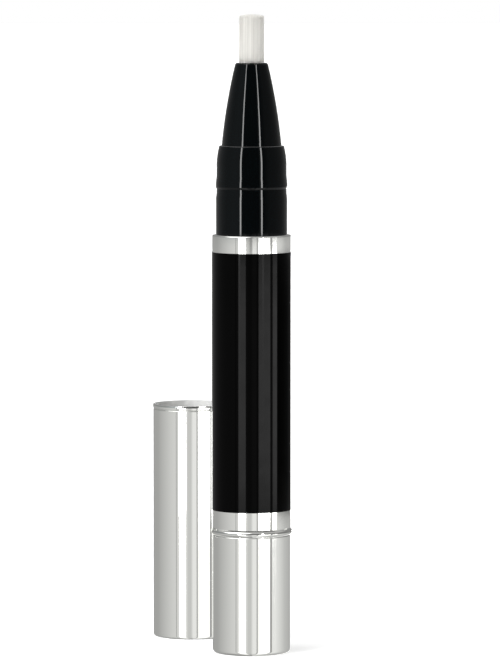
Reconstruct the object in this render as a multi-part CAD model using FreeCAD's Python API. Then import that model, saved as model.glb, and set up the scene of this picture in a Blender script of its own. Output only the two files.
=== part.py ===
import FreeCAD, Part
import math
import os

# Twist-up nail oil pen with a brush tip, uncapped, its cap standing beside it with the mouth up.
# Frame: Z along the pen, up towards the brush. The origin is the middle of the twist knob's flat end.
# The front is -Y. All sizes are in millimetres.
# Diameters grow outwards from the screw rod, and heights upwards from the knob's end, so that
# every piece takes its seat from the piece that it fits.

# Fits
fit_gap = 0.02
running_gap = 0.06
end_play = 0.15
overrun = 1.0

# Screw rod: a threaded rod with two flats and a head that snaps into the piston
rod_diameter = 5.0
rod_flats = 3.9
rod_end_gap = 1.6
rod_neck_diameter = 3.0
rod_neck_length = 2.4
rod_head_diameter = 4.2
rod_head_length = 1.6
rod_head_chamfer = 0.5
thread_pitch = 1.5
dispensing_turns = 20

# Drive sleeve: turned by the knob, keyed to the rod's flats
sleeve_bore_gap = 0.25
sleeve_wall = 0.85
sleeve_end_gap = 3.6
sleeve_spigot_step = 0.3
sleeve_spigot_flat = 0.5
sleeve_journal_step = 0.9
sleeve_flange_gap = 0.3
sleeve_flange_height = 1.5
sleeve_key_margin = 1.0
sleeve_key_length = 9.95

# Click spring: a ring with three curved arms that ride over the ratchet's teeth
spring_arms = 3
spring_hub_wall = 0.55
spring_arm_room = 0.88
spring_arm_thickness = 0.42
spring_height = 3.6
spring_tip_gap = 0.08
spring_tip_lag_share = 0.12
spring_arm_span = 88.0
spring_arm_middle_share = 0.36
spring_arm_drop_share = 0.62

# Ratchet ring: saw teeth inside, fixed in the inner barrel
ratchet_teeth = 12
ratchet_tooth_depth = 0.5
ratchet_ring_wall = 0.53
ratchet_height = 4.0

# Tail bush: the bearing that closes the barrel's lower end
bush_recess = 0.3
bush_flange_height = 1.0
bush_length = 3.7

# Rod nut
nut_length = 5.0
nut_collar_length = 3.0
nut_slot_width = 1.6
nut_slot_depth = 1.2

# Piston and its seals
piston_length = 8.0
piston_gap = 0.8
piston_headroom = 1.15
piston_chamfer = 0.4
piston_ring_section = 1.4
piston_ring_shares = (0.27, 0.73)
ring_groove_gap = 0.1

# Inner barrel: oil reservoir, mechanism housing and the neck that shows, in one moulding
inner_ring_step = 0.3
inner_nut_step = 0.4
inner_seat_step = 0.22
inner_seat_depth = 7.05
inner_body_step = 0.18
neck_wall = 1.16
neck_height = 16.95
neck_waist = 0.13
neck_lip = 0.55
neck_lip_round = 0.15
neck_shoulder_height = 3.35
neck_shoulder_bulge = 0.09
snap_bead_proud = 0.17
snap_bead_rise = 2.0
snap_bead_underside = 0.4
snap_bead_curve_share = 0.75
snap_bead_share = 0.543
snap_groove_height = 0.7
snap_ramp_height = 1.15

# Outer barrel tube and its wrap label
barrel_gap = 0.04
barrel_wall = 0.5
barrel_rim_round = 0.22
barrel_crimp = 0.25
label_thickness = 0.08
label_margin_bottom = 3.38
label_margin_top = 3.25
label_seam = 0.4

# Brush: bristle tuft, ferrule and feed tube
brush_diameter = 4.7
brush_swell = 0.06
brush_length = 9.2
brush_tip_round = 0.45
ferrule_height = 3.0
ferrule_wall = 0.4
feed_tube_diameter = 1.6
feed_tube_bore = 1.0
feed_tube_reach = 3.0
feed_tube_end_gap = 0.3

# Brush cone, its tube holder and its seal
cone_height = 15.75
cone_flange = 0.1
cone_bulge = 0.28
cone_tip_wall = 0.73
cone_tip_round = 0.25
cone_nose_length = 6.0
cone_nose_gap = 0.05
cone_spigot_wall = 1.3
cone_spigot_chamfer = 0.3
cone_ring_section = 1.0
cone_ring_share = 0.4
holder_recess = 0.2
holder_base_height = 3.0
holder_stem_wall = 1.9
holder_slot_width = 1.5

# Twist knob: drawn metal shell over a moulded core
knob_height = 23.8
knob_inset = 0.05
knob_gap = 0.25
knob_wall = 0.4
knob_corner = 0.8
knob_bead_height = 1.0
knob_bead_proud = 0.33
knob_groove_height = 0.3
knob_groove_depth = 0.1
core_floor = 1.0
core_wall = 0.8
core_hub_wall = 1.0
core_recess = 1.35
core_ribs = 8
core_rib_width = 0.8

# Cap: drawn metal shell over a moulded liner
cap_left = 11.7
cap_behind = 24.6
cap_gap = 0.08
cap_wall = 0.35
cap_corner = 0.5
cap_bead_height = 0.75
cap_bead_proud = 0.06
cap_groove_height = 0.3
cap_groove_depth = 0.12
liner_wall = 0.27
liner_recess = 2.6
liner_floor = 1.05
liner_headroom = 2.3
liner_shoulder_drop = 1.3
liner_taper_height = 2.4
liner_end_inset = 1.5
liner_inner_wall = 0.8
liner_snap_bite = 0.14
liner_snap_height = 1.0
liner_ribs = 6
liner_rib_width = 0.8

# Radii, outwards from the rod
rod_r = rod_diameter / 2
sleeve_bore_r = rod_r + sleeve_bore_gap
sleeve_r = sleeve_bore_r + sleeve_wall
spigot_r = sleeve_r + sleeve_spigot_step
journal_r = sleeve_r + sleeve_journal_step
hub_r = sleeve_r + fit_gap + spring_hub_wall
tooth_tip_r = hub_r + spring_arm_room
tooth_root_r = tooth_tip_r + ratchet_tooth_depth
ratchet_r = tooth_root_r + ratchet_ring_wall
ratchet_bore_r = ratchet_r + fit_gap
nut_bore_r = ratchet_bore_r - inner_ring_step
reservoir_r = nut_bore_r - inner_nut_step
seat_r = reservoir_r + inner_seat_step
neck_r = seat_r + neck_wall
waist_r = neck_r - neck_waist
neck_lip_r = seat_r + neck_lip
body_r = neck_r + inner_body_step
crimp_r = neck_r - barrel_crimp
tube_bore_r = body_r + barrel_gap
barrel_r = tube_bore_r + barrel_wall
knob_r = barrel_r - knob_inset
core_r = knob_r - knob_wall - fit_gap
spigot_in_cone_r = seat_r - fit_gap
cavity_r = spigot_in_cone_r - cone_spigot_wall
tuft_r = brush_diameter / 2
nose_bore_r = tuft_r + cone_nose_gap
tip_r = nose_bore_r + cone_tip_wall
ferrule_r = tuft_r + fit_gap + ferrule_wall
feed_r = feed_tube_diameter / 2
stem_r = feed_r + fit_gap + holder_stem_wall
liner_bore_r = neck_r + cap_gap
liner_r = liner_bore_r + liner_wall
cap_bore_r = liner_r + fit_gap
cap_r = cap_bore_r + cap_wall

# Heights, upwards from the knob's end
stroke = thread_pitch * dispensing_turns
core_top_of_floor = knob_wall + core_floor
core_top = knob_height - core_recess
barrel_bottom = knob_height + knob_gap
bush_bottom = barrel_bottom + bush_recess
inner_bottom = bush_bottom + bush_flange_height
bush_top = inner_bottom + bush_length
flange_bottom = bush_top + end_play
flange_top = flange_bottom + sleeve_flange_height
ratchet_bottom = flange_top + end_play
ratchet_top = ratchet_bottom + ratchet_height
rod_bottom = core_top_of_floor + rod_end_gap
sleeve_bottom = core_top_of_floor + sleeve_end_gap
sleeve_key_bottom = max(rod_bottom + stroke + sleeve_key_margin, ratchet_top)
sleeve_top = sleeve_key_bottom + sleeve_key_length
nut_bottom = sleeve_top + end_play
nut_top = nut_bottom + nut_length
piston_bottom = nut_top + piston_gap
piston_top = piston_bottom + piston_length
seat_bottom = piston_top + stroke + piston_headroom
neck_top = seat_bottom + inner_seat_depth
barrel_top = neck_top - neck_height
lip_bottom = barrel_top - barrel_wall
cone_top = neck_top + cone_height
ferrule_top = cone_top - cone_nose_length
ferrule_bottom = ferrule_top - ferrule_height
holder_bottom = seat_bottom + holder_recess
feed_tube_top = cone_top + feed_tube_reach
brush_top = cone_top + brush_length
snap_bead_z = barrel_top + snap_bead_share * neck_height
snap_groove_z = snap_bead_z - snap_bead_underside - snap_groove_height / 2
cap_height = neck_height + cone_height + brush_length + liner_headroom + liner_floor + cap_wall

ARC = "arc"
ORIGIN = FreeCAD.Vector(0, 0, 0)
UP = FreeCAD.Vector(0, 0, 1)


def rounded_corner(before, corner, after, radius):
    """Start, middle and end of the arc that rounds a corner between two straight runs."""
    back = (before - corner).normalize()
    onward = (after - corner).normalize()
    half = back.getAngle(onward) / 2
    reach = radius / math.tan(half)
    inward = (back + onward).normalize()
    centre = corner + inward * (radius / math.sin(half))
    return corner + back * reach, centre - inward * radius, corner + onward * reach


def outline(points, place):
    """Closed wire through points (u, v), (u, v, rounding) or (u, v, ARC), where ARC marks an arc's middle.

    place turns u and v into a vector.
    """
    spots = [place(p[0], p[1]) for p in points]
    count = len(points)
    enter, leave, edges = {}, {}, []
    for i, p in enumerate(points):
        enter[i] = leave[i] = spots[i]
        if len(p) == 3 and p[2] != ARC:
            following = spots[(i + 1) % count]
            enter[i], middle, leave[i] = rounded_corner(spots[i - 1], spots[i], following, p[2])
            edges.append(Part.Arc(enter[i], middle, leave[i]).toShape())
    for i, p in enumerate(points):
        after = (i + 1) % count
        if p[-1] == ARC:
            edges.append(Part.Arc(leave[i - 1], spots[i], enter[after]).toShape())
        elif points[after][-1] != ARC:
            edges.append(Part.LineSegment(leave[i], enter[after]).toShape())
    return Part.Wire(Part.__sortEdges__(edges))


def turned(*points, angle=360.0):
    """Solid of revolution about Z of an outline of (radius, height) points."""
    wire = outline(points, lambda r, z: FreeCAD.Vector(r, 0, z))
    return solid_of(Part.Face(wire).revolve(ORIGIN, UP, angle))


def solid_of(shape):
    """The one solid in a shape, with its faces pointing outwards."""
    solids = shape.Solids
    if len(solids) != 1:
        raise ValueError(f"expected one solid, found {len(solids)}")
    solid = solids[0]
    if solid.Volume < 0:
        solid.reverse()
    return solid


def tube(outer, inner, bottom, top):
    """Plain ring or tube about Z."""
    return turned((inner, bottom), (outer, bottom), (outer, top), (inner, top))


def rod(radius, bottom, top):
    """Plain cylinder about Z."""
    return Part.makeCylinder(radius, top - bottom, FreeCAD.Vector(0, 0, bottom), UP)


def slab(width, reach, bottom, top):
    """Block about Z, width wide in Y and reaching the same way on both sides in X."""
    corner = FreeCAD.Vector(-reach, -width / 2, bottom)
    return Part.makeBox(2 * reach, width, top - bottom, corner)


def double_flat(radius, flats, bottom, top):
    """Cylinder with two flats, flats being the distance between them."""
    return rod(radius, bottom, top).common(slab(flats, radius + overrun, bottom, top))


def polar(radius, degrees):
    """Point on a circle about Z, as two numbers."""
    angle = math.radians(degrees)
    return radius * math.cos(angle), radius * math.sin(angle)


def raised(points, bottom, top):
    """Prism between two heights of an outline of (x, y) points."""
    wire = outline(points, lambda x, y: FreeCAD.Vector(x, y, bottom))
    return Part.Face(wire).extrude(UP * (top - bottom))


def around(shape, count, start=0.0):
    """Copies of a shape turned evenly about Z."""
    copies = []
    for i in range(count):
        copy = shape.copy()
        copy.rotate(ORIGIN, UP, start + 360.0 * i / count)
        copies.append(copy)
    return copies


# Outer barrel


def barrel_tube():
    """Metal tube whose upper edge is crimped into a groove at the foot of the neck."""
    lip_r = crimp_r + fit_gap
    return turned(
        (tube_bore_r, barrel_bottom),
        (barrel_r, barrel_bottom),
        (barrel_r, barrel_top, barrel_rim_round),
        (lip_r, barrel_top),
        (lip_r, lip_bottom),
        (tube_bore_r, lip_bottom),
    )


def label_wrap():
    """Printed film round the tube, with its butt seam at the back."""
    bottom = barrel_bottom + label_margin_bottom
    top = barrel_top - label_margin_top
    outer = barrel_r + label_thickness
    seam = math.degrees(label_seam / outer)
    film = turned((barrel_r, bottom), (outer, bottom), (outer, top), (barrel_r, top), angle=360.0 - seam)
    film.rotate(ORIGIN, UP, 90.0 + seam / 2)
    return film


# Inner barrel


def inner_barrel():
    """Reservoir, mechanism housing and neck, with a snap bead that leads the cap on and holds it below."""
    bead_low = snap_bead_z - snap_bead_underside
    bead_high = snap_bead_z + snap_bead_rise
    bead_curve_r = waist_r + snap_bead_curve_share * snap_bead_proud
    groove_low = bead_low - snap_groove_height
    shoulder_z = neck_top - neck_shoulder_height
    return turned(
        (ratchet_bore_r, inner_bottom),
        (body_r, inner_bottom),
        (body_r, lip_bottom),
        (crimp_r, lip_bottom),
        (crimp_r, barrel_top),
        (neck_r, barrel_top),
        (neck_r, groove_low - snap_ramp_height),
        (waist_r, groove_low),
        (waist_r, bead_low),
        (bead_curve_r, (bead_low + snap_bead_z) / 2, ARC),
        (waist_r + snap_bead_proud, snap_bead_z),
        (bead_curve_r, (snap_bead_z + bead_high) / 2, ARC),
        (waist_r, bead_high),
        (waist_r, shoulder_z),
        ((waist_r + neck_lip_r) / 2 + neck_shoulder_bulge, neck_top - neck_shoulder_height / 2, ARC),
        (neck_lip_r, neck_top, neck_lip_round),
        (seat_r, neck_top),
        (seat_r, seat_bottom),
        (reservoir_r, seat_bottom),
        (reservoir_r, nut_top),
        (nut_bore_r, nut_top),
        (nut_bore_r, ratchet_top),
        (ratchet_bore_r, ratchet_top),
    )


# Brush end


def brush_cone():
    """Ogive nose on the neck's lip, with a spigot in the neck, a seal groove and the brush seat."""
    ring_r = cone_ring_section / 2
    groove_z = seat_bottom + cone_ring_share * inner_seat_depth
    groove_half = ring_r + ring_groove_gap
    groove_r = seat_r - 2 * fit_gap - cone_ring_section
    foot_r = spigot_in_cone_r + cone_flange
    return turned(
        (cavity_r, seat_bottom),
        (spigot_in_cone_r - cone_spigot_chamfer, seat_bottom),
        (spigot_in_cone_r, seat_bottom + cone_spigot_chamfer),
        (spigot_in_cone_r, groove_z - groove_half),
        (groove_r, groove_z - groove_half),
        (groove_r, groove_z + groove_half),
        (spigot_in_cone_r, groove_z + groove_half),
        (spigot_in_cone_r, neck_top),
        (foot_r, neck_top),
        ((foot_r + tip_r) / 2 + cone_bulge, (neck_top + cone_top - cone_tip_round) / 2, ARC),
        (tip_r, cone_top - cone_tip_round),
        (tip_r - cone_tip_round, cone_top),
        (nose_bore_r, cone_top),
        (nose_bore_r, ferrule_top),
        (ferrule_r + fit_gap, ferrule_top),
        (ferrule_r + fit_gap, ferrule_bottom),
        (cavity_r, neck_top),
    )


def cone_seal():
    """Rubber ring between the cone's spigot and the neck."""
    ring_r = cone_ring_section / 2
    seal = Part.makeTorus(seat_r - fit_gap - ring_r, ring_r)
    seal.translate(UP * (seat_bottom + cone_ring_share * inner_seat_depth))
    return solid_of(seal)


def tube_holder():
    """Slotted plug in the cone that carries the feed tube and backs the ferrule."""
    base_r = cavity_r - fit_gap
    base_top = holder_bottom + holder_base_height
    bore_r = feed_r + fit_gap
    plug = turned(
        (bore_r, holder_bottom),
        (base_r, holder_bottom),
        (base_r, base_top),
        (stem_r, base_top),
        (stem_r, ferrule_bottom),
        (bore_r, ferrule_bottom),
    )
    slot = Part.makeBox(
        base_r - stem_r + overrun,
        holder_slot_width,
        holder_base_height + 2 * overrun,
        FreeCAD.Vector(stem_r, -holder_slot_width / 2, holder_bottom - overrun),
    )
    return solid_of(plug.cut(around(slot, 4)))


def feed_tube():
    """Thin pipe that carries the oil into the middle of the bristles."""
    return tube(feed_r, feed_tube_bore / 2, holder_bottom, feed_tube_top)


def brush_ferrule():
    """Ring that clamps the bristles' roots."""
    return tube(ferrule_r, tuft_r + fit_gap, ferrule_bottom, ferrule_top)


def brush_tuft():
    """Bristle tuft, a little fuller at mid length, with room for the feed tube inside."""
    bore_r = feed_r + fit_gap
    bore_top = feed_tube_top + feed_tube_end_gap
    tip_edge = brush_top - brush_tip_round
    return turned(
        (bore_r, ferrule_bottom),
        (tuft_r, ferrule_bottom),
        (tuft_r, cone_top),
        (tuft_r + brush_swell, (cone_top + tip_edge) / 2, ARC),
        (tuft_r, tip_edge),
        (tuft_r - brush_tip_round / 2, brush_top),
        (0, brush_top),
        (0, bore_top),
        (bore_r, bore_top),
    )


# Dosing mechanism


def rod_nut():
    """Fixed nut in the inner barrel; its collar guides the drive sleeve's upper end."""
    nut_r = nut_bore_r - fit_gap
    guide_r = sleeve_r + running_gap
    thread_r = rod_r + running_gap
    collar_bottom = nut_bottom - nut_collar_length
    nut = turned(
        (guide_r, collar_bottom),
        (nut_r, collar_bottom),
        (nut_r, nut_top),
        (thread_r, nut_top),
        (thread_r, nut_bottom),
        (guide_r, nut_bottom),
    )
    slot = Part.makeBox(
        nut_slot_depth + overrun,
        nut_slot_width,
        nut_length + nut_collar_length + 2 * overrun,
        FreeCAD.Vector(nut_r - nut_slot_depth, -nut_slot_width / 2, collar_bottom - overrun),
    )
    return solid_of(nut.cut(around(slot, 4)))


def screw_rod():
    """Rod at its thread's outer diameter, with two flats, a neck and a snap head."""
    shank_top = piston_bottom - end_play
    neck_top_z = piston_bottom + rod_neck_length
    head_top = neck_top_z + rod_head_length
    head_r = rod_head_diameter / 2
    stem = turned(
        (0, shank_top),
        (rod_neck_diameter / 2, shank_top),
        (rod_neck_diameter / 2, neck_top_z),
        (head_r, neck_top_z),
        (head_r, head_top - rod_head_chamfer),
        (head_r - rod_head_chamfer, head_top),
        (0, head_top),
    )
    return solid_of(double_flat(rod_r, rod_flats, rod_bottom, shank_top).fuse(stem))


def piston():
    """Plunger with two ring grooves and a socket for the rod's head."""
    outer = reservoir_r - running_gap
    groove_r = reservoir_r - 2 * fit_gap - piston_ring_section
    half = piston_ring_section / 2 + ring_groove_gap
    entry_r = rod_neck_diameter / 2 + running_gap
    socket_r = rod_head_diameter / 2 + running_gap
    socket_bottom = piston_bottom + rod_neck_length - running_gap
    socket_top = piston_bottom + rod_neck_length + rod_head_length + running_gap
    points = [(entry_r, piston_bottom), (outer - piston_chamfer, piston_bottom)]
    points.append((outer, piston_bottom + piston_chamfer))
    for share in piston_ring_shares:
        z = piston_bottom + share * piston_length
        points += [(outer, z - half), (groove_r, z - half), (groove_r, z + half), (outer, z + half)]
    points += [(outer, piston_top - piston_chamfer), (outer - piston_chamfer, piston_top), (0, piston_top)]
    points += [(0, socket_top), (socket_r, socket_top), (socket_r, socket_bottom), (entry_r, socket_bottom)]
    return turned(*points)


def piston_seals():
    """Two rubber rings that seal the piston in the reservoir."""
    ring_r = piston_ring_section / 2
    rings = []
    for share in piston_ring_shares:
        ring = Part.makeTorus(reservoir_r - fit_gap - ring_r, ring_r)
        ring.translate(UP * (piston_bottom + share * piston_length))
        rings.append(solid_of(ring))
    return Part.makeCompound(rings)


def drive_sleeve():
    """Sleeve from the knob to the nut: spigot with flats, journal, flange and a bore keyed to the rod."""
    flange_r = ratchet_bore_r - sleeve_flange_gap
    flats = 2 * (spigot_r - sleeve_spigot_flat)
    spigot = double_flat(spigot_r, flats, sleeve_bottom, core_top)
    body = turned(
        (0, core_top),
        (journal_r, core_top),
        (journal_r, flange_bottom),
        (flange_r, flange_bottom),
        (flange_r, flange_top),
        (sleeve_r, flange_top),
        (sleeve_r, sleeve_top),
        (0, sleeve_top),
    )
    key = double_flat(rod_r + running_gap, rod_flats + 2 * running_gap, sleeve_key_bottom, sleeve_top)
    return solid_of(spigot.fuse(body).cut([rod(sleeve_bore_r, sleeve_bottom, sleeve_key_bottom), key]))


def ratchet_ring():
    """Ring with saw teeth inside, steep on the side that stops the knob from turning back."""
    pitch = 360.0 / ratchet_teeth
    ramp_r = (tooth_tip_r + tooth_root_r) / 2
    edge = []
    for i in range(ratchet_teeth):
        edge.append(polar(tooth_tip_r, i * pitch))
        edge.append(polar(tooth_root_r, i * pitch))
        edge.append((*polar(ramp_r, (i + 0.5) * pitch), ARC))
    blank = rod(ratchet_r, ratchet_bottom, ratchet_top)
    return solid_of(blank.cut(raised(edge, ratchet_bottom, ratchet_top)))


def click_spring():
    """Hub with curved arms whose tips lie in the ratchet's teeth and trail as the knob turns."""
    pitch = 360.0 / ratchet_teeth
    bottom, top = flange_top, flange_top + spring_height
    tip_at = spring_tip_lag_share * pitch
    middle_at = tip_at + spring_arm_middle_share * spring_arm_span
    root_at = tip_at + spring_arm_span
    tip_r = tooth_root_r - ratchet_tooth_depth * spring_tip_lag_share - spring_tip_gap
    root_r = hub_r
    middle_r = tip_r - spring_arm_drop_share * (tip_r - root_r)
    arm = raised(
        [
            polar(tip_r, tip_at),
            (*polar(middle_r, middle_at), ARC),
            polar(root_r, root_at),
            polar(root_r - spring_hub_wall / 2, root_at),
            (*polar(middle_r - spring_arm_thickness, middle_at), ARC),
            polar(tip_r - spring_arm_thickness, tip_at),
        ],
        bottom,
        top,
    )
    ring = tube(hub_r, sleeve_r + fit_gap, bottom, top)
    return solid_of(ring.fuse(around(arm, spring_arms)).removeSplitter())


def tail_bush():
    """Flanged bearing that carries the drive sleeve and closes the barrel."""
    bore_r = journal_r + running_gap
    skirt_r = ratchet_bore_r - fit_gap
    return turned(
        (bore_r, bush_bottom),
        (body_r, bush_bottom),
        (body_r, inner_bottom),
        (skirt_r, inner_bottom),
        (skirt_r, bush_top),
        (bore_r, bush_top),
    )


# Twist knob


def drawn_shell(radius, wall, corner, height, bead_height, bead_proud, groove_height, groove_depth):
    """Drawn metal cup, closed and rounded below, with a bead and a rolled groove round its mouth."""
    inner = radius - wall
    groove_top = height - bead_height
    return turned(
        (0, 0),
        (radius, 0, corner),
        (radius, groove_top - groove_height),
        (radius - groove_depth, groove_top - groove_height / 2, ARC),
        (radius, groove_top),
        (radius + bead_proud, height - bead_height / 2, ARC),
        (radius, height),
        (inner, height),
        (inner, wall, max(corner - wall, wall / 2)),
        (0, wall),
    )


def knob_shell():
    """Silver shell of the twist knob."""
    bead = knob_bead_height, knob_bead_proud, knob_groove_height, knob_groove_depth
    return drawn_shell(knob_r, knob_wall, knob_corner, knob_height, *bead)


def knob_core():
    """Moulded core of the knob: wall, hub and ribs, with a socket for the sleeve's flats."""
    socket_r = spigot_r + fit_gap
    core_hub_r = socket_r + core_hub_wall
    wall_r = core_r - core_wall
    corner = max(knob_corner - knob_wall, knob_wall / 2) + fit_gap
    cup = turned(
        (0, knob_wall),
        (core_r, knob_wall, corner),
        (core_r, core_top),
        (wall_r, core_top),
        (wall_r, core_top_of_floor),
        (0, core_top_of_floor),
    )
    hub = rod(core_hub_r, core_top_of_floor, core_top)
    rib = Part.makeBox(
        (core_r + wall_r) / 2,
        core_rib_width,
        core_top - core_top_of_floor,
        FreeCAD.Vector(0, -core_rib_width / 2, core_top_of_floor),
    )
    flats = 2 * (spigot_r - sleeve_spigot_flat + fit_gap)
    socket = double_flat(socket_r, flats, sleeve_bottom, core_top)
    rod_room = rod(sleeve_bore_r, core_top_of_floor, sleeve_bottom)
    return solid_of(cup.fuse([hub] + around(rib, core_ribs)).cut([socket, rod_room]).removeSplitter())


# Cap


def beside_pen(shape):
    """Moves a piece of the cap from the origin to where the cap stands."""
    shape.translate(FreeCAD.Vector(-cap_left, cap_behind, 0))
    return shape


def cap_shell():
    """Silver shell of the cap, standing on its closed end."""
    bead = cap_bead_height, cap_bead_proud, cap_groove_height, cap_groove_depth
    return beside_pen(drawn_shell(cap_r, cap_wall, cap_corner, cap_height, *bead))


def cap_liner():
    """Moulded inner cap: mouth bore with a snap rib, a seat for the neck's shoulder and a deep taper."""
    mouth = cap_height - liner_recess
    bore_end = cap_height - neck_height + neck_shoulder_height - liner_shoulder_drop
    seat_end = cap_height - neck_height - cap_gap
    seat_end_r = neck_lip_r + cap_gap
    end_r = seat_end_r - liner_end_inset
    floor_top = cap_wall + liner_floor
    snap_z = cap_height - (snap_groove_z - barrel_top)
    liner = turned(
        (0, cap_wall),
        (end_r + liner_inner_wall, cap_wall),
        (seat_end_r + liner_inner_wall, seat_end - liner_taper_height),
        (liner_r, seat_end),
        (liner_r, mouth),
        (liner_bore_r, mouth),
        (liner_bore_r, snap_z + liner_snap_height / 2),
        (liner_bore_r - liner_snap_bite, snap_z),
        (liner_bore_r, snap_z - liner_snap_height / 2),
        (liner_bore_r, bore_end),
        (seat_end_r, seat_end),
        (end_r, floor_top),
        (0, floor_top),
    )
    rib_bottom = cap_wall + cap_corner + liner_floor
    rib = Part.makeBox(
        liner_r - end_r - liner_inner_wall / 2,
        liner_rib_width,
        seat_end - rib_bottom,
        FreeCAD.Vector(end_r + liner_inner_wall / 2, -liner_rib_width / 2, rib_bottom),
    )
    bore = turned((0, floor_top), (end_r, floor_top), (seat_end_r, seat_end), (0, seat_end))
    skin = rod(liner_r, rib_bottom, seat_end)
    ribs = [r.common(skin) for r in around(rib, liner_ribs)]
    return beside_pen(solid_of(liner.fuse(ribs).cut(bore).removeSplitter()))


PIECES = (
    barrel_tube,
    label_wrap,
    inner_barrel,
    brush_cone,
    cone_seal,
    tube_holder,
    feed_tube,
    brush_ferrule,
    brush_tuft,
    rod_nut,
    screw_rod,
    piston,
    piston_seals,
    drive_sleeve,
    ratchet_ring,
    click_spring,
    tail_bush,
    knob_shell,
    knob_core,
    cap_shell,
    cap_liner,
)

os.makedirs("parts", exist_ok=True)
for piece in PIECES:
    shape = piece()
    if not shape.isValid():
        raise ValueError(f"{piece.__name__} is not a valid solid")
    shape.exportStep(f"parts/{piece.__name__}.step")
    print(f"{piece.__name__}: {len(shape.Solids)} solid(s), {shape.Volume:.2f} mm3")
print(f"pen {2 * barrel_r:.2f} across, {brush_top:.2f} high")
print(f"cap {2 * cap_r:.2f} across, {cap_height:.2f} high")
print(f"reservoir dose {math.pi * reservoir_r**2 * stroke:.0f} mm3 over {dispensing_turns} turns")
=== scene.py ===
# %% [markdown]
# # A twist-up nail oil pen
# The pen stands on its twist knob with the cap off, and the cap stands behind it with its mouth up.
# Two finishes make the object: mirror-bright metal and gloss black. Both are nearly all reflection, so
# most of this lesson is about what the pen sees around it. The brush is the one piece that the packed
# model can't show as it is, and it is built here bristle by bristle.

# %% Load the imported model
import math

import bpy
import numpy as np
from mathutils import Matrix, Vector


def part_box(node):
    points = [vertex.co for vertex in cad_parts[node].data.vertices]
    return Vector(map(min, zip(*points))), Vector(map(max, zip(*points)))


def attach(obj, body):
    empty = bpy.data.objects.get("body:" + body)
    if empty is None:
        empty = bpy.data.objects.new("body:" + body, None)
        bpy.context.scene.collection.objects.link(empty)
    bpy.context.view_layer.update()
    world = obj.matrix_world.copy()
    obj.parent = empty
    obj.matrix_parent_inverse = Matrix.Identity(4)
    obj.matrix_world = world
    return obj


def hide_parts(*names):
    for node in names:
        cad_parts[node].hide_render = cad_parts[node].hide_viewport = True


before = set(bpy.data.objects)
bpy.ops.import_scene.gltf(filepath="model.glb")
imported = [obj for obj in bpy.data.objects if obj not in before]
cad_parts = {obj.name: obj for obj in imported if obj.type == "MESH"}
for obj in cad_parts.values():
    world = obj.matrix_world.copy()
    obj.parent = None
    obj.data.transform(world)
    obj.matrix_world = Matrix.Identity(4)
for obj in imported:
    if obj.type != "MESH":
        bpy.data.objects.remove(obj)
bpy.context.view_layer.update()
MM = 0.001
scene = bpy.context.scene
scene.view_settings.view_transform = "Standard"
for name in sorted(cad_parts):
    low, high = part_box(name)
    print(f"{name}: {', '.join(f'{(b - a) / MM:.1f}' for a, b in zip(low, high))} mm")

# %% [markdown]
# The photographer stood about a metre away with a long lens, a little above the brush's tip, and tilted
# the camera down. A long lens keeps the upright sides parallel. The distance decides how much smaller the
# cap looks than the pen, so it is set first, and the focal length follows from the size of the barrel in
# the picture.

# %% Camera
IMAGE_HEIGHT_PX = 667
CAMERA_DISTANCE = 1000 * MM
CAMERA_HEIGHT = 135 * MM
CAMERA_SIDE = -0.3 * MM
CAMERA_TILT_DEG = 4.225
FOCAL_PX = 5256
SENSOR_MM = 36.0
CLIP_START = 10 * MM

camera_data = bpy.data.cameras.new("photo_camera")
camera_data.sensor_fit = "AUTO"
camera_data.sensor_width = SENSOR_MM
camera_data.lens = FOCAL_PX / IMAGE_HEIGHT_PX * SENSOR_MM
camera_data.clip_start = CLIP_START
camera = bpy.data.objects.new("photo_camera", camera_data)
camera.location = (CAMERA_SIDE, -CAMERA_DISTANCE, CAMERA_HEIGHT)
camera.rotation_euler = (math.radians(90 - CAMERA_TILT_DEG), 0, 0)
scene.collection.objects.link(camera)
scene.camera = camera
print(f"lens {camera_data.lens:.1f} mm, tilted down {CAMERA_TILT_DEG} degrees")

# %% [markdown]
# ## Building shaders in code
# A shader is a small graph. A few helpers keep the graphs readable: one adds a node and fills in its
# sockets, another makes a material that starts from the Principled shader. A socket's value may be a
# plain number, or the output of another node, which makes a link.


# %% Shader helpers
def add_node(tree, kind, values=None, **settings):
    """Adds one node. settings are the node's own properties, values its sockets by name or number."""
    node = tree.nodes.new(kind)
    for key, value in settings.items():
        setattr(node, key, value)
    for key, value in (values or {}).items():
        socket = node.inputs[key]
        if isinstance(value, bpy.types.NodeSocket):
            tree.links.new(value, socket)
        else:
            socket.default_value = value
    return node


def new_material(name, values):
    """A material with one Principled shader, whose sockets take the given values."""
    material = bpy.data.materials.new(name)
    material.use_nodes = True
    tree = material.node_tree
    tree.nodes.clear()
    shader = add_node(tree, "ShaderNodeBsdfPrincipled", values)
    output = add_node(tree, "ShaderNodeOutputMaterial")
    tree.links.new(shader.outputs["BSDF"], output.inputs["Surface"])
    return material, tree, shader


def stretched_noise(tree, scale, detail=2.0, stretch=(1, 1, 1)):
    """Noise over the object's own coordinates. Its grain is longer along an axis whose stretch is small."""
    place = add_node(tree, "ShaderNodeTexCoord")
    grain = add_node(tree, "ShaderNodeMapping", {"Vector": place.outputs["Object"], "Scale": stretch})
    values = {"Vector": grain.outputs["Vector"], "Scale": scale, "Detail": detail}
    return add_node(tree, "ShaderNodeTexNoise", values).outputs["Fac"]


def remapped(tree, value, start, end, low, high, kind="LINEAR"):
    """Carries a value's range from start to end over to the range from low to high."""
    values = {"Value": value, "From Min": start, "From Max": end, "To Min": low, "To Max": high}
    return add_node(tree, "ShaderNodeMapRange", values, interpolation_type=kind).outputs["Result"]


NOISE_LOW, NOISE_HIGH = 0.3, 0.7


def patches(tree, scale, low, high, detail=3.0, stretch=(1, 1, 1)):
    """A value that drifts between low and high in soft patches. Noise stays within a range near one half."""
    noise = stretched_noise(tree, scale, detail, stretch)
    return remapped(tree, noise, NOISE_LOW, NOISE_HIGH, low, high)


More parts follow.
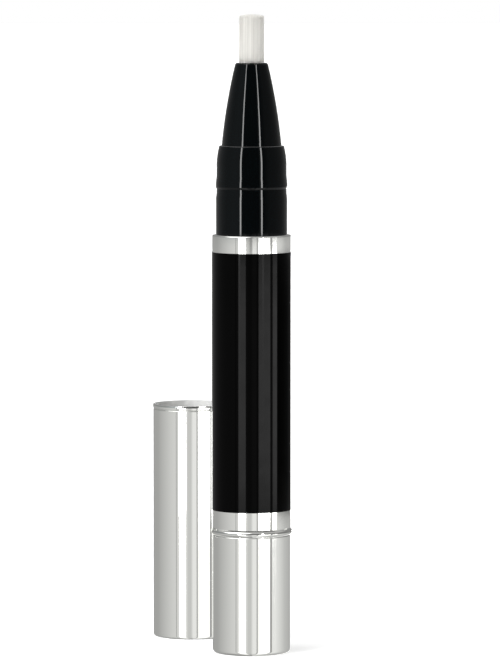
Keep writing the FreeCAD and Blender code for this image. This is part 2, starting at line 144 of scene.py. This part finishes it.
def roughen(tree, shader, **grain):
    """Links patches to the shader's roughness."""
    tree.links.new(patches(tree, **grain), shader.inputs["Roughness"])


def emboss(tree, shader, scale, strength, depth, detail=1.0, stretch=(1, 1, 1)):
    """Bends the shader's normal by a fine relief of noise. depth is in metres."""
    height = stretched_noise(tree, scale, detail, stretch)
    values = {"Height": height, "Strength": strength, "Distance": depth}
    relief = add_node(tree, "ShaderNodeBump", values)
    tree.links.new(relief.outputs["Normal"], shader.inputs["Normal"])


def dress(material, *nodes):
    """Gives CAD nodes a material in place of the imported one."""
    for name in nodes:
        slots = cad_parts[name].data.materials
        slots.clear()
        slots.append(material)
    print(f"{material.name}: {', '.join(nodes)}")


# %% [markdown]
# ## The studio
# A polished tube is a map of the room: a point on its wall at the share u of its radius shows the
# direction 2 arcsin(u) away from the camera. So the upright bands in the metal tell where the soft boxes
# stand. Lamps and cards would do, but the world can hold the whole studio with no noise. A ramp over the
# compass angle is enough for walls that change slowly. It is too coarse for the crisp edge of a soft box,
# so each box, stand and strip is a sector between two angles.
#
# All compass angles are in degrees from the camera, positive to the right.


# %% Studio helpers
def maths(tree, operation, *values):
    """The result of one Math node."""
    return add_node(tree, "ShaderNodeMath", dict(enumerate(values)), operation=operation).outputs[0]


def blend(tree, factor, first, second):
    """Carries a colour from the first to the second as the factor goes from nought to one."""
    values = {"Factor": factor, "A": first, "B": second}
    return add_node(tree, "ShaderNodeMix", values, data_type="VECTOR").outputs["Result"]


def grey(level):
    """The same value three times."""
    return (level, level, level)


def compass_ramp(tree, turn_share, plan):
    """A colour ramp over the compass angle. plan is a row of angles, each with its brightness or colour."""
    ramp = add_node(tree, "ShaderNodeValToRGB", {"Fac": turn_share})
    stops = ramp.color_ramp.elements
    while len(stops) < len(plan):
        stops.new(0.5)
    for stop, (degrees, level) in zip(stops, plan):
        stop.position = (degrees + 180) / 360
        stop.color = (*np.broadcast_to(level, 3), 1)
    return ramp.outputs["Color"]


def sector(tree, compass, start, end):
    """One between two compass angles and nought outside them, with sharp ends."""
    middle, half = math.radians((start + end) / 2), math.radians((end - start) / 2)
    return maths(tree, "COMPARE", compass, middle, half)


# %% [markdown]
# The camera looks down on the pen, so an upright wall mirrors each row of the picture at one height below
# the horizon. Three such heights divide the studio: the label's lower edge, its upper edge and the rim of
# the tube. They are worked out from the pieces' boxes and the camera.

# %% Directions in the studio
EDGE_SOFTNESS = 0.0003
RIM_LIFT = 0.3 * MM


def mirrored_above(tree, climb, height, radius):
    """One for what an upright wall shows above a height on it, and nought for what it shows below."""
    edge = -math.sin(math.atan2(CAMERA_HEIGHT - height, CAMERA_DISTANCE - radius))
    return remapped(tree, climb, edge - EDGE_SOFTNESS, edge + EDGE_SOFTNESS, 0, 1)


world = bpy.data.worlds.new("studio")
scene.world = world
world.use_nodes = True
tree = world.node_tree
tree.nodes.clear()
heading = add_node(tree, "ShaderNodeTexCoord").outputs["Generated"]
along = add_node(tree, "ShaderNodeSeparateXYZ", {"Vector": heading}).outputs
compass = maths(tree, "ARCTAN2", along["X"], maths(tree, "MULTIPLY", along["Y"], -1.0))
turn_share = remapped(tree, compass, -math.pi, math.pi, 0, 1)

label_low, label_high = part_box("label_wrap")
barrel_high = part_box("barrel_tube")[1]
above_band = mirrored_above(tree, along["Z"], label_low.z, label_high.x)
above_label = mirrored_above(tree, along["Z"], label_high.z, label_high.x)
above_rim = mirrored_above(tree, along["Z"], barrel_high.z + RIM_LIFT, barrel_high.x)
in_label = maths(tree, "SUBTRACT", above_band, above_label)
outside_label = maths(tree, "SUBTRACT", 1.0, in_label)
print(f"label from {label_low.z / MM:.1f} to {label_high.z / MM:.1f} mm, rim at {barrel_high.z / MM:.1f} mm")

# %% [markdown]
# Up to the rim the pen mirrors the room itself: grey walls, narrow dark stands, a soft box at the front
# left, a wider one at the front right and a slim one at the back. Black film mirrors so little that the
# boxes are brighter within the label's heights. There a narrow gleam joins them and a dark flag covers the
# right of the room, because the label is black on that side. The top band shows a dark slot where the
# camera stands.

# %% Room
PANEL, PLAIN_PANEL = 7.0, 1.3
PANELS = ((-38.5, -17), (20.5, 56))
BACK_PANEL = (164, 176)
GLEAM = (64, 79)
WALLS = (
    (-180, 0.35), (-120, 0.4), (-60, 0.65), (-40, 0.7), (-15, 0.75), (-10, 0.6), (-2, 0.6),
    (4, 0.85), (18, 0.85), (75, 0.85), (115, 0.55), (180, 0.35),
)
STAND_LEVEL = 0.35
STANDS = ((-48, -46), (15, 18))
FAR_STAND = (57, 63)
SLOT_LEVEL = 0.35
CAMERA_SLOT = (-6, 2)
LABEL_FLAG_LEVEL = 0.12
LABEL_FLAG = (82, 160)

walls = compass_ramp(tree, turn_share, WALLS)
for span in STANDS:
    walls = blend(tree, sector(tree, compass, *span), walls, grey(STAND_LEVEL))
far_stand = maths(tree, "MULTIPLY", sector(tree, compass, *FAR_STAND), outside_label)
walls = blend(tree, far_stand, walls, grey(STAND_LEVEL))
slot = maths(tree, "MULTIPLY", sector(tree, compass, *CAMERA_SLOT), above_label)
walls = blend(tree, slot, walls, grey(SLOT_LEVEL))
label_flag = maths(tree, "MULTIPLY", sector(tree, compass, *LABEL_FLAG), in_label)
walls = blend(tree, label_flag, walls, grey(LABEL_FLAG_LEVEL))

panels = maths(tree, "ADD", *(sector(tree, compass, *span) for span in PANELS))
panels = maths(tree, "ADD", panels, maths(tree, "MULTIPLY", sector(tree, compass, *GLEAM), in_label))
panels = maths(tree, "ADD", panels, sector(tree, compass, *BACK_PANEL))
panel_level = remapped(tree, in_label, 0, 1, PLAIN_PANEL, PANEL)
mirror_room = blend(tree, panels, walls, panel_level)
print(f"{len(WALLS)} marks for the walls, {len(STANDS) + 1} stands, {len(PANELS) + 1} soft boxes")

# %% [markdown]
# Above the rim stand dark flags, which keep the neck and the cone black. A cool fill on the left shows as
# a lighter side on them, and two thin strips of light draw the bright lines along them.

# %% Flags and strips
STRIP = 15.0
STRIPS = ((-38.5, -33.5), (31, 36))
SHADE, FAR_SHADE, STRIP_SPILL = 0.08, 0.2, 0.5
FILL, FAR_FILL = (0.36, 0.385, 0.395), (0.27, 0.28, 0.285)
FLAG_PLAN = (
    (-180, 0.26), (-145, 0.28), (-110, FAR_FILL), (-90, FAR_FILL), (-62, FILL), (-38, FILL), (-28, SHADE),
    (24, SHADE), (29, STRIP_SPILL), (38, SHADE), (60, FAR_SHADE), (115, FAR_SHADE), (135, 0.24), (180, 0.26),
)

strips = maths(tree, "ADD", *(sector(tree, compass, *span) for span in STRIPS))
flag_room = blend(tree, strips, compass_ramp(tree, turn_share, FLAG_PLAN), grey(STRIP))
room = blend(tree, above_rim, mirror_room, flag_room)
print(f"{len(FLAG_PLAN)} marks for the flags, {len(STRIPS)} strips")

# %% [markdown]
# Overhead hangs a soft sky with a stronger key light at the left, which lights the brush, the cap's mouth
# and the floor. Far below, the room is a little darker. The camera itself sees plain white.

# %% Sky, key light and background
SKY_LIGHT, SKY_FROM_DEG, SKY_TO_DEG = 0.45, 27, 42
KEY_LIGHT, KEY_TURN_DEG, KEY_RISE_DEG, KEY_EDGE_DEG, KEY_CORE_DEG = 3.2, -60, 50, 38, 14
PIT_LEVEL, PIT_FROM_DEG, PIT_TO_DEG = 0.75, -35, -60


def rise(degrees):
    """Height of a direction on the unit sphere."""
    return math.sin(math.radians(degrees))


key_turn, key_flat = math.radians(KEY_TURN_DEG), math.cos(math.radians(KEY_RISE_DEG))
key_way = (math.sin(key_turn) * key_flat, -math.cos(key_turn) * key_flat, rise(KEY_RISE_DEG))
key_dot = add_node(tree, "ShaderNodeVectorMath", {0: heading, 1: key_way}, operation="DOT_PRODUCT")
key_edge, key_core = math.cos(math.radians(KEY_EDGE_DEG)), math.cos(math.radians(KEY_CORE_DEG))
brightest = SKY_LIGHT + KEY_LIGHT
sky = remapped(tree, key_dot.outputs["Value"], key_edge, key_core, SKY_LIGHT, brightest, "SMOOTHSTEP")
overhead = remapped(tree, along["Z"], rise(SKY_FROM_DEG), rise(SKY_TO_DEG), 0, 1, "SMOOTHSTEP")
lit = blend(tree, overhead, room, sky)
pit = remapped(tree, along["Z"], rise(PIT_TO_DEG), rise(PIT_FROM_DEG), PIT_LEVEL, 1, "SMOOTHSTEP")
studio = add_node(tree, "ShaderNodeVectorMath", {0: lit, "Scale": pit}, operation="SCALE").outputs["Vector"]

camera_ray = add_node(tree, "ShaderNodeLightPath").outputs["Is Camera Ray"]
seen = blend(tree, camera_ray, studio, grey(1))
background = add_node(tree, "ShaderNodeBackground", {"Color": seen})
add_node(tree, "ShaderNodeOutputWorld", {"Surface": background.outputs["Background"]})
print(f"sky {SKY_LIGHT}, key light {KEY_LIGHT} at {KEY_RISE_DEG} degrees")

# %% [markdown]
# The floor is one pale sheet. It keeps the soft shadow where the pen and the cap stand, and a little
# camera-only glow lifts it to the white of the photograph without putting more light on the pen. The metal
# doesn't see it: its walls mirror the studio down to the foot, as they do in the photograph.

# %% Floor
FLOOR_HALF = 8.0
FLOOR_COLOUR = (0.86, 0.86, 0.86, 1)
FLOOR_GLOW = 0.48

floor_material = bpy.data.materials.new("pale_floor")
floor_material.use_nodes = True
tree = floor_material.node_tree
tree.nodes.clear()
paper = add_node(tree, "ShaderNodeBsdfDiffuse", {"Color": FLOOR_COLOUR})
camera_ray = add_node(tree, "ShaderNodeLightPath").outputs["Is Camera Ray"]
glow_level = maths(tree, "MULTIPLY", camera_ray, FLOOR_GLOW)
glow = add_node(tree, "ShaderNodeEmission", {"Strength": glow_level})
both = add_node(tree, "ShaderNodeAddShader", {0: paper.outputs[0], 1: glow.outputs[0]})
add_node(tree, "ShaderNodeOutputMaterial", {"Surface": both.outputs[0]})

corners = np.array([(-1, -1, 0), (1, -1, 0), (1, 1, 0), (-1, 1, 0)]) * FLOOR_HALF
floor_mesh = bpy.data.meshes.new("floor")
floor_mesh.from_pydata(corners.tolist(), [], [(0, 1, 2, 3)])
floor_mesh.materials.append(floor_material)
floor = bpy.data.objects.new("floor", floor_mesh)
floor.visible_glossy = False
scene.collection.objects.link(floor)
print(f"floor {2 * FLOOR_HALF:.0f} m across")

# %% [markdown]
# ## Polished aluminium
# The tube, the knob and the cap are drawn from aluminium, polished and clear anodised. They are mirrors
# with a faint warm tint. What keeps a mirror from looking computed is that it isn't perfect: drawing
# leaves hairlines along the axis, and handling leaves areas that are a little less sharp. The hairlines
# could be an anisotropic shader. A bump of stretched noise is simpler and shows the same faint grain.
#
# The inside of the cap isn't polished. Points closer to the cap's axis than its outer wall get a pale matt
# finish, and the lip a satin one in between.
#
# The cap's mirror would show the pen in front of it, and the photograph's cap shows only the studio. So all
# the pen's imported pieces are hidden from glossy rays. The cap's own two stay visible to them.

# %% Metal
POLISHED_FROM = 7.27 * MM
ETCHED = 0.6
SMUDGES = {"scale": 220.0, "low": 0.02, "high": 0.045}
LIP_SATIN = 0.2
LIP_HEIGHT = 0.3 * MM
PALE_METAL, ETCHED_METAL = (0.905, 0.91, 0.875), (0.95, 0.95, 0.94)

metal, tree, shader = new_material("polished_aluminium", {})
smudges = patches(tree, **SMUDGES)
place = add_node(tree, "ShaderNodeTexCoord").outputs["Object"]
cap_low, cap_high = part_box("cap_shell")
cap_axis = ((cap_low.x + cap_high.x) / 2, (cap_low.y + cap_high.y) / 2, 0)
from_axis = {0: place, 1: cap_axis}
off_axis = add_node(tree, "ShaderNodeVectorMath", from_axis, operation="SUBTRACT").outputs["Vector"]
flattened = {0: off_axis, 1: (1, 1, 0)}
level = add_node(tree, "ShaderNodeVectorMath", flattened, operation="MULTIPLY").outputs["Vector"]
reach = add_node(tree, "ShaderNodeVectorMath", {0: level}, operation="LENGTH").outputs["Value"]
inside = maths(tree, "LESS_THAN", reach, POLISHED_FROM)
height = add_node(tree, "ShaderNodeSeparateXYZ", {"Vector": place}).outputs["Z"]
at_top = maths(tree, "GREATER_THAN", height, cap_high.z - LIP_HEIGHT)
lip = maths(tree, "MULTIPLY", at_top, maths(tree, "LESS_THAN", reach, cap_high.x - cap_low.x))
roughness = maths(tree, "MAXIMUM", smudges, maths(tree, "MULTIPLY", lip, LIP_SATIN))
roughness = maths(tree, "MAXIMUM", roughness, maths(tree, "MULTIPLY", inside, ETCHED))
tree.links.new(roughness, shader.inputs["Roughness"])
tree.links.new(maths(tree, "SUBTRACT", 1.0, inside), shader.inputs["Metallic"])
tree.links.new(blend(tree, inside, PALE_METAL, ETCHED_METAL), shader.inputs["Base Color"])
emboss(tree, shader, scale=9000.0, strength=0.02, depth=0.004 * MM, detail=2.0, stretch=(1, 1, 0.01))
dress(metal, "barrel_tube", "knob_shell", "cap_shell")
for name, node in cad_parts.items():
    node.visible_glossy = name in ("cap_shell", "cap_liner")

# %% [markdown]
# ## Label film
# The label is a thin film, black all over and smooth. It mirrors very little, so only the soft boxes show
# in it, as wide dark grey stripes with clear edges. Its surface is slightly uneven where it lies on the
# tube. A bump of noise gives that without any change to the shape.

# %% Label
film, tree, shader = new_material(
    "label_film", {"Base Color": (0.0002, 0.0002, 0.0002, 1), "Specular IOR Level": 0.056}
)
roughen(tree, shader, scale=300.0, low=0.05, high=0.09)
emboss(tree, shader, scale=2500.0, strength=0.006, depth=0.01 * MM)
dress(film, "label_wrap")

# %% [markdown]
# ## Gloss black mouldings
# The neck and the brush cone are moulded in black plastic with a high gloss, so the strips of light show
# as thin bright lines along them. Moulded walls are never quite true. A bump with a long, shallow wave makes
# those lines waver a little. The mouldings that stay inside are plain and matt.

# %% Black mouldings
gloss_black, tree, shader = new_material(
    "gloss_black_moulding", {"Base Color": (0.0003, 0.001, 0.0013, 1), "Specular IOR Level": 0.25}
)
roughen(tree, shader, scale=500.0, low=0.006, high=0.014)
emboss(tree, shader, scale=160.0, strength=0.004, depth=0.05 * MM, stretch=(1, 1, 0.6))
dress(gloss_black, "inner_barrel", "brush_cone")

matte_black, tree, shader = new_material("plain_black_moulding", {"Base Color": (0.012, 0.012, 0.013, 1)})
roughen(tree, shader, scale=900.0, low=0.42, high=0.55)
emboss(tree, shader, scale=4000.0, strength=0.1, depth=0.01 * MM, detail=2.0)
dress(matte_black, "ratchet_ring", "tail_bush", "knob_core")

# %% [markdown]
# ## Pale mouldings and small pieces inside
# The cap's liner and the pieces of the mechanism are moulded in natural and white plastics. Natural plastic
# lets light a little way in, so it gets some subsurface scattering. The seals are rubber and the ferrule
# that holds the bristles is brass.

# %% Pale mouldings, rubber and brass
natural, tree, shader = new_material(
    "natural_moulding",
    {"Base Color": (0.88, 0.88, 0.855, 1), "Subsurface Weight": 0.25,
     "Subsurface Radius": (1, 0.95, 0.9), "Subsurface Scale": 0.8 * MM},
)
roughen(tree, shader, scale=700.0, low=0.2, high=0.3)
emboss(tree, shader, scale=3000.0, strength=0.06, depth=0.01 * MM)
dress(natural, "cap_liner", "tube_holder", "feed_tube", "piston")

white, tree, shader = new_material("white_mechanism_moulding", {"Base Color": (0.74, 0.74, 0.72, 1)})
roughen(tree, shader, scale=800.0, low=0.35, high=0.45)
emboss(tree, shader, scale=3500.0, strength=0.06, depth=0.01 * MM)
dress(white, "rod_nut", "screw_rod", "drive_sleeve", "click_spring")

rubber, tree, shader = new_material("seal_rubber", {"Base Color": (0.018, 0.018, 0.019, 1)})
roughen(tree, shader, scale=1500.0, low=0.55, high=0.7)
dress(rubber, "cone_seal", "piston_seals")

brass, tree, shader = new_material("ferrule_brass", {"Base Color": (0.75, 0.56, 0.24, 1), "Metallic": 1.0})
roughen(tree, shader, scale=2000.0, low=0.2, high=0.32, detail=2.0, stretch=(1, 1, 0.05))
dress(brass, "brush_ferrule")

# %% [markdown]
# ## Bristles
# The brush is a tuft of straight nylon bristles clamped in the nose. A solid with a streaky texture would
# pass from afar, but its flat end would give it away. Here every bristle is a slim tube on a sunflower
# layout, which fills a disc evenly. Neighbouring bristles lean together in small clumps, the tuft swells
# a little at mid length, and the ends are cut to a low crown with some uneven lengths.


# %% Bristle surfaces
def sunflower(count, radius):
    """Points that fill a disc evenly: the radius grows with the root of the number, and each point is a
    golden angle further round."""
    k = np.arange(count)
    r = radius * np.sqrt((k + 0.5) / count)
    angle = k * math.pi * (3 - math.sqrt(5))
    return np.column_stack([r * np.cos(angle), r * np.sin(angle)])


CLUMP_WAVES = np.array([[(5.1, 2.3, 0), (0, 8.7, -3.1)], [(-2.9, 4.7, 1.3), (9.3, 0, 0.7)]])


def clumps(place):
    """Which way the bristles at a place lean together, sideways and in depth.

    Each of the two is the mean of two waves, the sine of a x + b y + c, with x and y from -1 to 1.
    """
    across, deep, start = np.moveaxis(CLUMP_WAVES, -1, 0)
    x, y = place[:, 0, None, None], place[:, 1, None, None]
    return np.sin(across * x + deep * y + start).mean(axis=-1)


def tubes(paths, radii, sides):
    """Closed-ended tubes round many paths at once.

    paths is (tube, ring, 3) and radii (tube, ring). A ring is the path's point plus the radius times
    (cos a, sin a, 0), as the tubes are nearly upright. Returns vertices, quads and end faces.
    """
    count, rings, _ = paths.shape
    a = np.linspace(0, 2 * math.pi, sides, endpoint=False)
    circle = np.column_stack([np.cos(a), np.sin(a), np.zeros(sides)])
    vertices = paths[:, :, None, :] + radii[:, :, None, None] * circle
    number = np.arange(count * rings * sides).reshape(count, rings, sides)
    low, high = number[:, :-1], number[:, 1:]
    quads = np.stack([low, np.roll(low, -1, 2), np.roll(high, -1, 2), high], -1).reshape(-1, 4)
    ends = np.concatenate([number[:, -1], number[:, 0, ::-1]])
    return vertices.reshape(-1, 3), quads, ends


# %% Brush
BRISTLES = 1700
BRISTLE_SEED = 7
BRISTLE_RADIUS = 0.058 * MM
BRISTLE_SIDES = 6
TUFT_RADIUS = 2.34 * MM
TUFT_SWELL = 0.05 * MM
CLUMP_LEAN = 0.07 * MM
STRAY_LEAN = 0.03 * MM
CROWN = 0.28 * MM
UNEVEN = 0.2 * MM
ROOT_DEPTH = 1.5 * MM
RING_SHARES = np.array([0.0, 0.3, 0.55, 0.8, 0.95, 1.0])
THICKNESS_SHARES = np.array([1.0, 1.0, 1.0, 0.95, 0.8, 0.45])

rng = np.random.default_rng(BRISTLE_SEED)
brush_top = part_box("brush_tuft")[1].z
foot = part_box("brush_cone")[1].z - ROOT_DEPTH

root = sunflower(BRISTLES, TUFT_RADIUS)
place = root / TUFT_RADIUS
out = np.linalg.norm(place, axis=1)
clump = clumps(place)
lean = CLUMP_LEAN * clump + STRAY_LEAN * rng.standard_normal((BRISTLES, 2))
tip = brush_top - CROWN * out**3 - UNEVEN * rng.random(BRISTLES) ** 2
swell = TUFT_SWELL * np.sin(math.pi * RING_SHARES)

paths = np.empty((BRISTLES, len(RING_SHARES), 3))
paths[:, :, :2] = root[:, None] + lean[:, None] * RING_SHARES[:, None] ** 2 + place[:, None] * swell[:, None]
paths[:, :, 2] = foot + (tip - foot)[:, None] * RING_SHARES
radii = np.broadcast_to(BRISTLE_RADIUS * THICKNESS_SHARES, (BRISTLES, len(RING_SHARES)))
vertices, quads, ends = tubes(paths, radii, BRISTLE_SIDES)

mesh = bpy.data.meshes.new("brush_bristles")
mesh.from_pydata(vertices.tolist(), [], quads.tolist() + ends.tolist())
tint = np.repeat(rng.random(BRISTLES).astype(np.float32), len(RING_SHARES) * BRISTLE_SIDES)
mesh.attributes.new("bristle_tint", "FLOAT", "POINT").data.foreach_set("value", tint)
mesh.polygons.foreach_set("use_smooth", np.arange(len(mesh.polygons)) < len(quads))
bristles = bpy.data.objects.new("brush_bristles", mesh)
scene.collection.objects.link(bristles)
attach(bristles, "barrel")
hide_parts("brush_tuft")
print(f"{BRISTLES} bristles, {len(mesh.vertices)} vertices, {len(mesh.polygons)} faces")

# %% [markdown]
# Each bristle carries a number of its own, which tints it a little, so the tuft shows its separate bristles
# in flat light too.

# %% Bristle material
PALEST_NYLON, DEEPEST_NYLON = (0.93, 0.915, 0.875, 1), (0.78, 0.765, 0.725, 1)

nylon, tree, shader = new_material("bristle_nylon", {"Roughness": 0.45})
own = add_node(tree, "ShaderNodeAttribute", attribute_name="bristle_tint")
tints = {"Factor": own.outputs["Fac"], "A": PALEST_NYLON, "B": DEEPEST_NYLON}
mixed = add_node(tree, "ShaderNodeMix", tints, data_type="RGBA")
tree.links.new(mixed.outputs["Result"], shader.inputs["Base Color"])
mesh.materials.append(nylon)
print(f"{nylon.name}: {bristles.name}")
